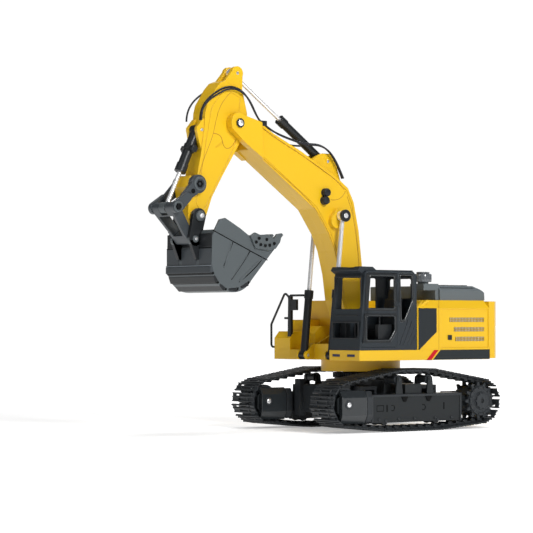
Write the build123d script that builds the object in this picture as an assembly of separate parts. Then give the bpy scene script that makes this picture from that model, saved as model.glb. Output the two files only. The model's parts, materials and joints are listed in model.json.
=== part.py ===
from build123d import *
import os
from math import atan2, cos, degrees, hypot, pi, radians, sin

# Toy tracked excavator, 1:20. Millimetres. +X is forward, +Y the cab side, +Z up.
# The origin is on the ground, midway between the two idler-to-sprocket centres.
# Side outlines are written as (x, z) points; each is extruded across the machine along Y.

# ---------------------------------------------------------------- driving dimensions
WALL = 2.0                      # moulded wall thickness
GAP = 0.4                       # clearance between separate mouldings that move

# Undercarriage
AXLE_X = 96.0                   # idler axis forward, sprocket axis the same distance back
AXLE_Z = 30.0
TRACK_Y = 68.0                  # middle plane of each track
SHOE_WIDTH = 38.0
LINK_COUNT = 46
PITCH_R = 20.5                  # radius of the chain's pin line round idler and sprocket
GROUSER_Z = 4.2                 # from the pin line out to the grouser tips
KNUCKLE_R = 2.0
CARRIER_X = (21.0, -23.5)
CARRIER_Z = 55.0
CARRIER_R = 5.0
ROLLER_X = (40.0, -34.0)
ROLLER_R = 4.5
ROLLER_Z = GROUSER_Z + KNUCKLE_R + 0.5 + ROLLER_R
FRAME_BOTTOM = 9.5
FRAME_TOP = 39.5
FRAME_HALF_Y = 11.0

# Slew bearing
SLEW_X = 8.0
DRUM_R = 43.5
DRUM_BOTTOM = 63.0
RING_TEETH = 60
PINION_TEETH = 12
GEAR_MODULE = 1.0
GEAR_BOTTOM = 56.0
GEAR_TOP = 61.5

# House
HALF_WIDTH = 79.0
DECK_BOTTOM = 75.5
DECK_TOP = 86.5
CAB_FRONT = 77.0
CAB_REAR = -4.0
CAB_INNER_Y = 29.5
CAB_TOP = 170.8
RIGHT_FRONT = 66.4
REAR_X = -114.0
PANEL_TOP = 131.7
ROOF_Z = 140.3
HOOD_TOP = 156.2

# Boom, cylinders, stick and bucket pivots, (x, z)
BOOM_FOOT = (22.0, 101.0)
BOOM_TIP = (190.0, 324.5)
CYL_BASE = (69.0, 80.5)
CYL_PIN = (53.5, 231.3)
CYL_Y = 23.5
ARM_CYL_BASE = (62.0, 290.5)
ARM_CYL_EYE = (185.0, 378.0)
BUCKET_CYL_BASE = (232.0, 316.0)
ROCKER_PIVOT = (241.0, 259.0)
ROCKER_PIN = (271.0, 234.3)
BUCKET_PIVOT = (240.5, 226.0)
LINK_PIVOT = (246.0, 202.0)

BOOM_HALF = 14.5
CHEEK_INNER = 11.2
CHEEK_OUTER = 19.5
STICK_HALF = 10.6
PIN_R = 1.6
BUCKET_HALF = 39.5
HOSE_Y = (12.0, 14.4, -12.0)
TOOTH_Y = (-32.0, -16.0, 0.0, 16.0, 32.0)


# ---------------------------------------------------------------- helpers
def polygon(points, radius=0.0):
    """Closed face through the points, all corners rounded by radius."""
    face = make_face(Polyline(*points, close=True))
    return fillet(face.vertices(), radius) if radius else face


def disc(centre, radius):
    return Pos(*centre) * Circle(radius)


def capsule(start, end, radius_start, radius_end):
    """Tangent outline round two circles."""
    return make_hull([disc(start, radius_start).edge(), disc(end, radius_end).edge()])


def side(outline, y_low, y_high):
    """Extrude an (x, z) outline between two widths."""
    return extrude(Plane.XZ.offset(-y_high) * outline, amount=y_high - y_low)


def front(outline, x_low, x_high):
    """Extrude a (y, z) outline between two stations along X."""
    return extrude(Plane.YZ.offset(x_low) * outline, amount=x_high - x_low)


def level(outline, z_low, z_high):
    """Extrude an (x, y) outline between two heights."""
    return extrude(Plane.XY.offset(z_low) * outline, amount=z_high - z_low)


def block(x_low, x_high, y_low, y_high, z_low, z_high):
    centre = ((x_low + x_high) / 2, (y_low + y_high) / 2, (z_low + z_high) / 2)
    return Pos(*centre) * Box(x_high - x_low, y_high - y_low, z_high - z_low)


def round_y(centre, radius, y_low, y_high):
    """Cylinder across the machine at an (x, z) centre."""
    middle = Pos(centre[0], (y_low + y_high) / 2, centre[1])
    return middle * Rot(90, 0, 0) * Cylinder(radius, y_high - y_low)


def pair(shape):
    """The shape and its mirror image on the other side of the machine."""
    return shape + mirror(shape, Plane.XZ)


def along(start, end):
    """Location at start (x, z) on the middle plane, local +X towards end."""
    angle = degrees(atan2(end[1] - start[1], end[0] - start[0]))
    return Pos(start[0], 0, start[1]) * Rot(0, -angle, 0)


def rod_between(start, end, radius, y):
    """Cylinder in a side plane from start to end."""
    length = hypot(end[0] - start[0], end[1] - start[1])
    middle = Pos(0, y, 0) * along(start, end) * Pos(length / 2, 0, 0)
    return middle * Rot(0, 90, 0) * Cylinder(radius, length)


def ring_y(centre, outer, inner, y_low, y_high):
    return round_y(centre, outer, y_low, y_high) - round_y(centre, inner, y_low - 1, y_high + 1)


def screw_z(x, y, z_top, length):
    """Pan-head screw driven down from z_top."""
    head = Pos(x, y, z_top - 0.6) * Cylinder(1.5, 1.2)
    shank = Pos(x, y, z_top - 1.2 - length / 2) * Cylinder(0.8, length)
    return head + shank


def gear(teeth, module, z_low, z_high, bore, phase):
    """Spur gear with straight-flanked teeth and generous backlash."""
    pitch = teeth * module / 2
    root = pitch - 1.3 * module
    tip = pitch + 0.75 * module
    half_root = 0.30 * pi * module / root
    half_tip = 0.10 * pi * module / tip
    points = []
    for index in range(teeth):
        angle = phase + 2 * pi * index / teeth
        for radius, offset in ((root, -half_root), (tip, -half_tip), (tip, half_tip), (root, half_root)):
            points.append((radius * cos(angle + offset), radius * sin(angle + offset)))
    return level(polygon(points) - Circle(bore), z_low, z_high)


# ---------------------------------------------------------------- undercarriage
def belt_wire():
    """Pin line of a track: the tight belt round idler, sprocket and all rollers."""
    circles = [disc((AXLE_X, AXLE_Z), PITCH_R), disc((-AXLE_X, AXLE_Z), PITCH_R)]
    circles += [disc((x, CARRIER_Z), CARRIER_R + KNUCKLE_R + GAP) for x in CARRIER_X]
    circles += [disc((x, ROLLER_Z), ROLLER_R + KNUCKLE_R + 0.5) for x in ROLLER_X]
    return make_hull([circle.edge() for circle in circles]).face().outer_wire()


def track_link(pitch):
    """One link, pin to pin along local X, shoe on local +Z, centred across local Y."""
    shoe = block(-0.18 * pitch, 0.72 * pitch, -SHOE_WIDTH / 2, SHOE_WIDTH / 2, 2.3, 3.1)
    shoe += block(0.2 * pitch, 0.66 * pitch, -9.5, 9.5, 3.0, 3.9)
    for station in (-0.12, 0.24, 0.66):
        shoe += block(
            station * pitch - 0.5, station * pitch + 0.5, -SHOE_WIDTH / 2, SHOE_WIDTH / 2, 3.0, GROUSER_Z
        )
    shoe -= Pos(0.45 * pitch, 0, 3) * Box(0.2 * pitch, 15, 8)
    shoe -= Pos(0.06 * pitch, 0, 3) * Box(0.14 * pitch, 26, 8)
    link = shoe + block(0.12 * pitch, 0.8 * pitch, -8.5, 8.5, 0.4, 2.5)
    link += round_y((0, 0), KNUCKLE_R, -8.5, -4.4) + round_y((0, 0), KNUCKLE_R, 4.4, 8.5)
    link += block(0, 0.3 * pitch, -8.5, -4.4, -1.2, 2.5) + block(0, 0.3 * pitch, 4.4, 8.5, -1.2, 2.5)
    link += block(0.6 * pitch, pitch, -4.0, 4.0, -1.2, 2.0) + round_y((pitch, 0), KNUCKLE_R, -4.0, 4.0)
    link -= round_y((pitch, 0), 1.0, -4.1, 4.1)
    link -= round_y((0, 0), KNUCKLE_R + 0.35, -4.4, 4.4)
    for low, high in ((4.0, 10), (-10, -4.0)):
        link -= round_y((pitch, 0), KNUCKLE_R + 0.35, low, high)
    return link + round_y((0, 0), 0.92, -8.6, 8.6)


def track_chain(y):
    wire = belt_wire()
    points = [wire.position_at(index / LINK_COUNT) for index in range(LINK_COUNT)]
    middle = Vector(0, AXLE_Z)
    link = track_link(hypot(*(points[1] - points[0]).to_tuple()[:2]))
    turning = (points[0] - middle).cross(points[1] - middle).Z
    links = []
    for index in range(LINK_COUNT):
        start = points[index]
        end = points[(index + 1) % LINK_COUNT]
        if turning > 0:
            start, end = end, start
        angle = degrees(atan2(end.Y - start.Y, end.X - start.X))
        placed = Pos(start.X, y, start.Y) * Rot(0, -angle, 0) * link
        if placed.bounding_box().min.Z < 0:
            placed -= block(start.X - 20, start.X + 30, y - 30, y + 30, -5, 0)
        links.append(placed)
    return Compound(children=links)


def track_frame(y):
    """Roller frame of one track: side plates, top box, carrier forks and idler yoke plates."""
    low, high = y - FRAME_HALF_Y, y + FRAME_HALF_Y
    box = block(-69, 61, low, high, 18, FRAME_TOP) - block(-67, 59, low + WALL, high - WALL, 16, 37.5)
    for inner, outer in ((low, low + WALL), (high - WALL, high)):
        box += block(-69, 61, inner, outer, FRAME_BOTTOM, 20)
        box += block(58.5, 61, inner - 0.6, outer + 0.6, FRAME_BOTTOM, FRAME_TOP)
        box += block(-69, -66.5, inner - 0.6, outer + 0.6, FRAME_BOTTOM, FRAME_TOP)
        for x in CARRIER_X:
            fork = polygon([(x - 5, 39), (x + 5, 39), (x + 2.8, CARRIER_Z + 2.8),
                            (x - 2.8, CARRIER_Z + 2.8)], 1)
            box += side(fork, inner, outer)
        yoke = polygon([(60, 15), (97, 13.4), (107, 22), (107, 36), (97, 44.6), (60, 43)])
        box += side(yoke, inner, outer)
    box += block(-13, 10, y - 8, y + 8, 39, 50)
    for x in CARRIER_X:
        box -= round_y((x, CARRIER_Z), PIN_R + 0.05, low - 1, high + 1)
    for x in ROLLER_X:
        box -= round_y((x, ROLLER_Z), PIN_R + 0.05, low - 1, high + 1)
    for x in (13.7, -20.6):
        notch = polygon([(x - 4.8, 36.8), (x + 4.8, 36.8), (x + 1.6, 31.3), (x - 1.6, 31.3)])
        box -= side(notch, high - 0.8, high + 1) + side(notch, low - 1, low + 0.8)
    box -= round_y((AXLE_X, AXLE_Z), 2.55, low - 1, high + 1)
    box += block(-88, -69, y - 6, y + 6, 24, 36) - round_y((-AXLE_X, AXLE_Z), 17, y - 8, y + 8)
    return box


def idler(y):
    wheel = round_y((AXLE_X, AXLE_Z), 18.0, y - 8.4, y + 8.4)
    wheel -= ring_y((AXLE_X, AXLE_Z), 15.0, 6.5, y - 9, y - 5)
    wheel -= ring_y((AXLE_X, AXLE_Z), 15.0, 6.5, y + 5, y + 9)
    return wheel + round_y((AXLE_X, AXLE_Z), 2.5, y - 13.5, y + 13.5)


def sprocket(y, outward):
    """Drive wheel: two toothed rings beside the chain knuckles and a hub facing outwards."""
    centre = (-AXLE_X, AXLE_Z)
    teeth = 13
    profile = disc(centre, 17.0)
    for index in range(teeth):
        angle = 2 * pi * index / teeth
        tip = (centre[0] + 20.2 * cos(angle), centre[1] + 20.2 * sin(angle))
        foot = (centre[0] + 14.0 * cos(angle), centre[1] + 14.0 * sin(angle))
        profile += capsule(foot, tip, 2.6, 1.3)
    profile -= disc(centre, 11.5)
    wheel = side(profile, y - 12.2, y - 9.0) + side(profile, y + 9.0, y + 12.2)
    wheel += ring_y(centre, 16.5, 11.5, y - 9.5, y + 9.5)
    web_low, web_high = (y + 4, y + 8) if outward > 0 else (y - 8, y - 4)
    wheel += ring_y(centre, 12.5, 2.6, web_low, web_high)
    face = y + outward * 16
    wheel += ring_y(centre, 8.0, 2.6, min(y + outward * 6, face), max(y + outward * 6, face))
    for index in range(10):
        angle = 2 * pi * index / 10
        spot = (centre[0] + 8.0 * cos(angle), centre[1] + 8.0 * sin(angle))
        wheel += round_y(spot, 1.1, min(y + outward * 7, face), max(y + outward * 7, face))
    return wheel


def spool_roller(x, z, radius, y):
    """Flanged roller with its pin."""
    roller = round_y((x, z), radius - 0.8, y - 8.3, y + 8.3)
    roller += round_y((x, z), radius, y - 8.3, y - 5.5) + round_y((x, z), radius, y + 5.5, y + 8.3)
    return roller + round_y((x, z), PIN_R, y - 11.6, y + 11.6)


def x_frame():
    """Centre frame between the tracks, with the slew post."""
    inner = TRACK_Y - FRAME_HALF_Y
    frame = level(disc((SLEW_X, 0), 38.0), 22, 54)
    for x_low, x_high in ((34, 58), (-52, -28)):
        frame += block(x_low, x_high, -inner, inner, 18, 48)
        frame -= block(x_low + 3, x_high - 3, -inner - 1, inner + 1, 14, 44)
    frame -= level(disc((SLEW_X, 0), 34.0), 20, 50)
    for x_low, x_high in ((34, 58), (-52, -28)):
        frame -= block(x_low + 3, x_high - 3, -33, 33, 14, 44)
    for y_low, y_high in ((38, 47), (-47, -38)):
        frame += block(55, 63, y_low, y_high, 14, 54)
    post = level(disc((SLEW_X, 0), 27.0), 53, GEAR_BOTTOM) + level(disc((SLEW_X, 0), 12.0), 49, 74)
    post -= level(disc((SLEW_X, 0), 8.0), 40, 80)
    return frame + post


def slew_ring_gear():
    return Pos(SLEW_X, 0, 0) * gear(RING_TEETH, GEAR_MODULE, GEAR_BOTTOM, GEAR_TOP, 20.0, 0.0)


def pinion_centre():
    reach = (RING_TEETH + PINION_TEETH) * GEAR_MODULE / 2
    return SLEW_X - reach, 0.0


def slew_pinion():
    """Pinion behind the ring gear, a tooth gap facing the ring's tooth."""
    x, y = pinion_centre()
    wheel = gear(PINION_TEETH, GEAR_MODULE, GEAR_BOTTOM, GEAR_TOP, 1.0, pi / PINION_TEETH)
    return Pos(x, y, 0) * (wheel + Pos(0, 0, (GEAR_BOTTOM + 88) / 2) * Cylinder(1.5, 88 - GEAR_BOTTOM))


def slew_motor():
    x, y = pinion_centre()
    case = Pos(x, y, 96) * (Box(24, 20, 14) + Pos(0, 0, 12) * Cylinder(8, 10))
    return case - Pos(x, y, 90) * Cylinder(1.56, 20)


def travel_gearboxes():
    """One drive unit per side, between the sprocket web and the frame's tail."""
    units = []
    for outward in (1, -1):
        y = outward * TRACK_Y
        low, high = sorted((y - outward * 26, y - outward * 13.0))
        unit = block(-104, -72, low, high, 20, 40)
        shaft_low, shaft_high = sorted((y - outward * 13.5, y + outward * 15.0))
        units.append(unit + round_y((-AXLE_X, AXLE_Z), 2.52, shaft_low, shaft_high))
    return Compound(children=units)


# ---------------------------------------------------------------- house
def house_deck():
    """Floor plate with its rim, and the round skirt that hides the slew gear."""
    plan = polygon(
        [
            (CAB_FRONT, HALF_WIDTH), (CAB_FRONT, CAB_INNER_Y), (58, CAB_INNER_Y),
            (58, -33), (RIGHT_FRONT, -51.5),
            (RIGHT_FRONT, -HALF_WIDTH), (REAR_X + 2, -HALF_WIDTH), (REAR_X - 8, -60), (REAR_X - 8, 60),
            (REAR_X + 2, HALF_WIDTH),
        ]
    )
    deck = level(plan, DECK_BOTTOM, DECK_TOP)
    deck -= level(offset(plan, -WALL), DECK_BOTTOM + WALL, DECK_TOP + 1)
    for y_low in (34.0, 58.5):
        deck -= block(CAB_FRONT - 0.6, CAB_FRONT + 1, y_low, y_low + 13, 79.6, 82.4)
    drum = level(disc((SLEW_X, 0), DRUM_R) - disc((SLEW_X, 0), DRUM_R - 2.5), DRUM_BOTTOM, DECK_BOTTOM + 1)
    collar = level(disc((SLEW_X, 0), 16.0), 68, DECK_BOTTOM + 1)
    deck += drum + collar
    deck -= level(disc((SLEW_X, 0), 12.4), 60, 90)
    x, y = pinion_centre()
    deck -= block(-96.4, -85.6, -3.4, 3.4, 70, 80)
    return deck - Pos(x, y, 76) * Cylinder(2.2, 8)


def centre_frame():
    """Boom foot brackets, front cross member and the lift cylinders' base ears."""
    base_x, base_z = CYL_BASE
    floor = DECK_BOTTOM + WALL + 0.1
    bracket = polygon([(-40, floor), (55.8, floor), (55.8, 93), (34, 104), (27, 111), (-40, 111)], 1.5)
    frame = pair(side(bracket, 15.2, 18.2))
    frame += block(50, 55.8, -31, 28.9, floor, 93)
    frame += block(50, 60.5, -31, 28.9, DECK_TOP + 0.1, 93)
    frame += block(58.1, 60.5, -31, 28.9, DECK_BOTTOM + 0.3, 93)
    ear = polygon([(59, DECK_BOTTOM + 0.3), (base_x, DECK_BOTTOM + 0.3), (base_x, 85.3), (62, 93),
                   (59, 93)])
    ear += disc(CYL_BASE, 4.9)
    for low, high in ((16.2, 18.4), (-18.4, -16.2), (-31.0, -28.8)):
        frame += side(ear, low, high)
    frame -= round_y(BOOM_FOOT, 3.05, -19, 19)
    return frame - round_y(CYL_BASE, PIN_R, -32, 32)


def house_pins():
    """Boom foot pin, lift cylinder base pins, held in the centre frame."""
    pins = [round_y(BOOM_FOOT, 3.0, -19.5, 19.5)]
    for low, high in ((16.0, 29.0), (-31.6, -16.0)):
        pins.append(round_y(CYL_BASE, PIN_R, low, high))
    return Compound(children=pins)


def housing_section(side_sign):
    """(y, z) outline of an engine housing: upright panel, bevel, flat top."""
    s = side_sign
    return [(s * 31, DECK_TOP), (s * HALF_WIDTH, DECK_TOP), (s * HALF_WIDTH, PANEL_TOP),
            (s * 70, ROOF_Z), (s * 31, ROOF_Z)]


def hollow_housing(side_sign, x_low, x_high):
    outer = polygon(housing_section(side_sign))
    inner = offset(outer, -WALL)
    shell = front(outer, x_low, x_high) - front(inner, x_low + WALL, x_high - WALL)
    return shell


def left_housing():
    shell = hollow_housing(1, REAR_X + 2.5, -5.0)
    cut = polygon([(-5.0 + 1, PANEL_TOP), (-21.0, ROOF_Z + 0.01), (-21.0, ROOF_Z + 5), (2, ROOF_Z + 5),
                   (2, PANEL_TOP)])
    shell -= side(cut, 60, 90)
    shell += side(polygon([(-7, PANEL_TOP - 4), (-7, PANEL_TOP), (-21.5, ROOF_Z), (-24.0, ROOF_Z),
                           (-24, ROOF_Z - 2)]), 60, 76)
    shell -= block(-110.5, -39.5, HALF_WIDTH - 1.1, HALF_WIDTH + 1, 88.5, 130.8)
    for row, x_high in ((119.0, -51.0), (108.5, -57.0), (98.0, -61.0)):
        count = int((x_high + 105) / 2.2)
        for index in range(count):
            x = -104.6 + 2.2 * index
            shell -= block(x, x + 1.2, HALF_WIDTH - 3, HALF_WIDTH + 1, row - 2.4, row + 2.4)
    return shell


def right_housing():
    shell = hollow_housing(-1, REAR_X + 2.5, 24.0)
    for row in (119.0, 108.5, 98.0):
        for index in range(22):
            x = -104.6 + 2.2 * index
            shell -= block(x, x + 1.2, -HALF_WIDTH - 1, -HALF_WIDTH + 3, row - 2.4, row + 2.4)
    return shell


def right_front_box():
    """Tool box and the step behind it, a stair up to the engine deck."""
    profile = polygon([(RIGHT_FRONT, DECK_TOP), (RIGHT_FRONT, 98.8), (60, 106.2), (46, 106.2),
                       (41, 119), (24.4, 119),
                       (24.4, DECK_TOP)])
    outer = side(profile, -HALF_WIDTH, -51.5)
    inner = side(offset(profile, -WALL), -HALF_WIDTH + WALL, -51.5 - WALL)
    step = side(polygon([(46, DECK_TOP), (46, 104), (38, 112), (24.4, 112), (24.4, DECK_TOP)]), -52, -33)
    return (outer - inner) + step - side(polygon([(27, 89), (43, 89), (43, 101), (36, 109), (27, 109)]),
                                         -49.5, -35)


def engine_hood():
    side_view = polygon([(-46, ROOF_Z), (-46, HOOD_TOP), (-98, HOOD_TOP), (-107, 152.5),
                         (-112.5, 148.8), (-113, ROOF_Z)], 1.2)
    hood = side(side_view, -46, 70)
    trim = polygon([(70.1, HOOD_TOP + 1), (70.1, 151), (65, HOOD_TOP + 1)])
    hood -= front(trim, -120, -40)
    hood -= side(offset(side_view, -WALL), -46 + WALL, 70 - WALL)
    for x in (-62, -76, -90):
        hood += Pos(x, 56, HOOD_TOP + 0.3) * Box(6, 14, 1.4)
    hood += Pos(-100, 40, 156) * Cylinder(3.5, 3)
    return hood


def air_cleaner():
    """Intake box on two posts, with the pre-cleaner bowl on top."""
    parts = block(-45.8, -24, 46, 68, 151, 158.2)
    parts += block(-45.8, -41, 46, 68, ROOF_Z, 152) + block(-30, -26, 44.5, 50, ROOF_Z, 152)
    parts += Pos(-32, 58, 159.3) * Cylinder(6.0, 3.0)
    parts += Pos(-32, 58, 164.5) * Cylinder(9.0, 8.6)
    parts += Pos(-32, 58, 169.2) * Cylinder(6.8, 1.6)
    return parts


def counterweight():
    """Cast block that closes the rear, with a rounded plan."""
    half = [(REAR_X + 2, HALF_WIDTH - 1), (REAR_X - 7, HALF_WIDTH - 1.6), (REAR_X - 15, HALF_WIDTH - 8),
            (REAR_X - 22, HALF_WIDTH - 26), (REAR_X - 28, HALF_WIDTH - 52)]
    plan = polygon(half + [(REAR_X - 30, 12), (REAR_X - 30, -12)] + [(x, -y) for x, y in reversed(half)])
    body = level(plan, DECK_BOTTOM + 1, ROOF_Z - 1)
    profile = polygon(
        [(REAR_X - 40, 70), (REAR_X + 4, 70), (REAR_X + 4, 145), (REAR_X - 22, 145), (REAR_X - 34, 86),
         (REAR_X - 30, 76.4),
         (REAR_X - 40, 76.4)]
    )
    body &= side(profile, -90, 90)
    recess = [(REAR_X + 5, 86), (REAR_X + 1.4, 79.6), (REAR_X - 8.5, 60.4)]
    recess += [(x, -y) for x, y in reversed(recess)]
    body -= level(polygon(recess), 70, DECK_TOP + 0.3)
    return body - block(REAR_X - 14, REAR_X + 3, -60, 60, DECK_TOP + 4, ROOF_Z - 6)


def cab_outline(inset=0.0):
    outline = polygon([(CAB_FRONT, DECK_TOP), (69, 168), (66, CAB_TOP), (1, CAB_TOP), (CAB_REAR, 166),
                       (CAB_REAR, DECK_TOP)])
    return offset(outline, -inset) if inset else outline


def quarter_window():
    return polygon([(20.6, 167), (2.4, 167), (1.6, 140), (13.5, 118), (18.5, 118), (20.4, 140)], 1.5)


def door_outline(inset=0.0):
    low, high = DECK_TOP + 3.5 + inset, 168.5 - inset
    return polygon([(73.6 - inset, low), (66.2 - inset, high), (24 + inset, high), (24 + inset, low)], 1.5)


def cab_shell():
    """Cab frame: posts, sills and rear corner, open where the windows are."""
    shell = side(cab_outline(), CAB_INNER_Y, HALF_WIDTH)
    shell -= side(cab_outline(2.2), CAB_INNER_Y + 2.2, HALF_WIDTH - 2.2)
    shell -= side(door_outline(-0.3), HALF_WIDTH - 2.5, HALF_WIDTH + 1)
    shell -= side(quarter_window(), HALF_WIDTH - 3, HALF_WIDTH + 1)
    inner_window = polygon([(12, 130), (62, 130), (60, 164), (12, 164)], 2)
    shell -= side(inner_window, CAB_INNER_Y - 1, CAB_INNER_Y + 3)
    shell -= front(polygon([(36, 142), (72, 142), (72, 163), (36, 163)], 2), CAB_REAR - 1, CAB_REAR + 3)
    shell -= front(polygon([(33.5, 130.4), (75, 130.4), (75, 164), (33.5, 164)], 2), 60, 80)
    shell -= front(polygon([(34, 100), (72, 100), (75, 103), (75, 115.6), (34, 115.6)], 1), 60, 80)
    for index in range(4):
        x = 20.3 - 5.2 * index
        slot = polygon([(x, 92), (x + 1.1, 92), (x - 11.5, 120 - 2.5 * index),
                        (x - 12.6, 120 - 2.5 * index)])
        shell -= side(slot & cab_outline(3), HALF_WIDTH - 0.7, HALF_WIDTH + 1)
    for z in (160.4, 135.9):
        shell += Pos(21.9, HALF_WIDTH, z) * Box(3.4, 1.6, 3.6)
    return shell


def cab_door():
    """Door frame with an upper and a lower opening and its hinge barrels."""
    door = side(door_outline(), HALF_WIDTH - 2.2, HALF_WIDTH)
    upper = polygon([(65.6, 130.6), (62.2, 166), (27.4, 166), (27.4, 130.6)], 2)
    lower = polygon([(67.2, 97), (67.2, 123.4), (27, 123.4), (27, 108), (35, 97)], 2)
    door -= side(upper + lower, 70, 90)
    for z in (160.4, 135.9):
        door += Pos(25.0, HALF_WIDTH + 0.3, z) * Cylinder(1.0, 4.2)
    handle = Pos(64.6, HALF_WIDTH + 1.1, 127) * Box(4.5, 0.9, 1.0)
    handle += Pos(66.4, HALF_WIDTH + 0.3, 127) * Box(0.9, 1.2, 1.0)
    return door + handle


def cab_roof():
    """Roof cap and the raised visor over the windscreen."""
    roof = block(0, 56, 31, 77, CAB_TOP + 0.02, CAB_TOP + 1.2)
    visor = polygon([(50, CAB_TOP + 0.02), (66.4, CAB_TOP + 0.1), (71.0, 167.9), (76.5, 171.2),
                     (74, 175.4), (56, 175.2)], 0.6)
    wedge = side(visor, 31, 76.5)
    wedge -= block(58, 80, 40, 68, 173.2, 180)
    return roof + wedge


def cab_seat():
    """Seat, side consoles, floor, levers and dashboard."""
    seat = block(2, 70, 33, 75, DECK_TOP + 2.3, DECK_TOP + 5)
    seat += block(14, 36, 45, 66, DECK_TOP + 5, 108)
    seat += side(polygon([(8, 104), (18, 104), (12, 142), (4, 142)], 2), 46, 65)
    seat += side(polygon([(6, 140), (12, 140), (10, 152), (5, 152)], 1), 50, 61)
    for y in (39.5, 71.0):
        seat += block(14, 46, y - 2.5, y + 2.5, DECK_TOP + 5, 114)
        seat += Pos(42, y, 118) * Cylinder(0.9, 10) + Pos(42, y, 124) * Sphere(1.7)
    seat += block(60, 66, 34, 44, DECK_TOP + 5, 122)
    for y in (52.0, 58.0):
        seat += Pos(60, y, 104) * Cylinder(0.8, 26) + block(56, 62, y - 2, y + 2, DECK_TOP + 5, 93)
    return seat


def handrail():
    """Tube rail at the right front corner, with the mirror on its post."""
    tube = 1.25
    run = FilletPolyline(
        (-HALF_WIDTH - 0.02, 88.8), (-88.6, 88.8), (-88.6, 114), (-64, 149), (-57.0, 144),
        (-54, 101), radius=3.5
    )
    path = Plane.YZ.offset(RIGHT_FRONT - 3.2) * run
    rail = sweep(Plane(path @ 0, z_dir=path % 0) * Circle(tube), path=path)
    rail += front(polygon([(-57.4, 99), (-52.0, 99), (-52.0, 146), (-56.4, 146)], 1), 61.6, 65.0)
    rail += front(polygon([(-54, 144.6), (-30.5, 144.6), (-30.5, 147.0), (-54, 147.0)], 1), 62.1, 64.5)
    rail += block(61.8, 64.8, -52, -42.5, 129.5, 141.5)
    rail -= side(polygon([(50, 80), (RIGHT_FRONT + 0.02, 80), (RIGHT_FRONT + 0.02, 98.82),
                          (60.02, 106.22), (50, 106.22)]),
                 -78, -50)
    rail += front(polygon([(-64, 119.6), (-55, 119.6), (-55, 122), (-64, 122)], 1), 62.1, 64.5)
    return rail


def battery_pack():
    cells = [Pos(-66, y, 99) * Rot(0, 90, 0) * Cylinder(7.0, 42) for y in (-22.0, -7.0, 8.0)]
    tray = block(-88, -44, -31, 17, 89.0, 91.9)
    return Compound(children=cells + [tray])


def control_board():
    board = block(-100, -40, -28, 28, 120, 121.6)
    for x, y in ((-90, -16), (-72, 12), (-54, -8)):
        board += block(x - 5, x + 5, y - 4, y + 4, 121.5, 124)
    return board + Pos(-48, 18, 126) * Cylinder(3, 9)


def speaker():
    return Pos(-92, 52, 100) * (Cylinder(12, 4) + Pos(0, 0, 4) * Cylinder(7, 5))


def boom_gear_unit():
    """Lift motor and gearbox behind the boom foot."""
    return block(-14, 10, -12, 12, 88, 110) + Pos(-5, 0, 114) * Cylinder(6, 10)


def screws():
    """Screws that hold the deck, the housings and the track frames, driven from above."""
    spots = [(x, y, DECK_TOP - 7.2) for x in (44, -20, -70) for y in (24, -24)]
    shafts = [screw_z(x, y, z, 0.6) for x, y, z in spots]
    return Compound(children=shafts)


def power_switch():
    """Slide knob under the rear of the deck."""
    floor = DECK_BOTTOM + WALL + 0.05
    return block(-96, -90, -3, 3, DECK_BOTTOM - 2.2, floor + 1) + block(-99, -87, -5, 5, floor, floor + 1.9)


# ---------------------------------------------------------------- boom
def boom_outline():
    """Side outline of the gooseneck, foot to tip."""
    lower = [(30, 100), (46.5, 140), (50.5, 168), (57.5, 194), (66, 212), (84.5, 238), (170, 298)]
    upper = [(164, 330), (141, 316.2), (104.6, 299.8), (54, 273.5), (38, 262), (30, 247), (23, 216),
             (18.5, 180), (13.5, 100)]
    return polygon(lower + upper, 2.0) + disc(BOOM_FOOT, 9.0)


def boom_tip_outline():
    """Cheek that carries the stick pin."""
    neck = polygon([(158, 288.5), (182, 304.0), (200, 319), (196, 333), (187, 334), (160, 327)])
    return neck + disc(BOOM_TIP, 10.8)


def groove(outline, depth_in, y_face):
    """Shallow line running inside an outline on one outer face."""
    return side(offset(outline, -depth_in) - offset(outline, -depth_in - 0.55), y_face - 0.45, y_face + 1)


def boom_half():
    """Left half shell of the boom, split on the middle plane."""
    outline = boom_outline()
    half = side(outline, 0, BOOM_HALF) - side(offset(outline, -WALL), -1, BOOM_HALF - WALL)
    tip = boom_tip_outline()
    cheek = side(tip, CHEEK_INNER, CHEEK_OUTER)
    half += cheek
    slot = polygon([(176, 286), (172, 318), (177, 345), (215, 345), (215, 286)], 0) + disc(BOOM_TIP, 18.0)
    half -= side(slot, -1, CHEEK_INNER)
    half -= groove(outline, 3.0, BOOM_HALF)
    boss = capsule(CYL_PIN, (58, 226), 8.0, 8.0)
    half += side(boss, BOOM_HALF - 0.5, 19.8)
    lug = polygon([(43, 266), (88, 290), (76, 296.6), (70, 299), (56, 299), (51, 290)],
                  1.5) + disc(ARM_CYL_BASE, 7.5)
    half += side(lug & polygon([(30, 250), (100, 280), (100, 310), (30, 310)]), 5.0, 9.0)
    half -= round_y(ARM_CYL_BASE, PIN_R, 4, 10)
    half -= round_y(BOOM_TIP, 3.25, 9, CHEEK_OUTER + 1)
    half -= round_y(CYL_PIN, 1.45, BOOM_HALF - 3, 21)
    half -= round_y(BOOM_FOOT, 3.05, -1, BOOM_HALF + 1)
    return half


def boom_pins():
    """Stick pin, lift cylinder pins with their caps, stick cylinder base pin."""
    pins = [round_y(BOOM_TIP, 3.2, -CHEEK_OUTER - 1.2, CHEEK_OUTER + 1.2)]
    for s in (1, -1):
        low, high = sorted((s * 11.6, s * 27.8))
        cap_low, cap_high = sorted((s * 27.0, s * 28.6))
        pins.append(round_y(CYL_PIN, 1.4, low, high) + round_y(CYL_PIN, 5.6, cap_low, cap_high))
    pins.append(round_y(ARM_CYL_BASE, PIN_R, -9.6, 9.6))
    return Compound(children=pins)


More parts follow.
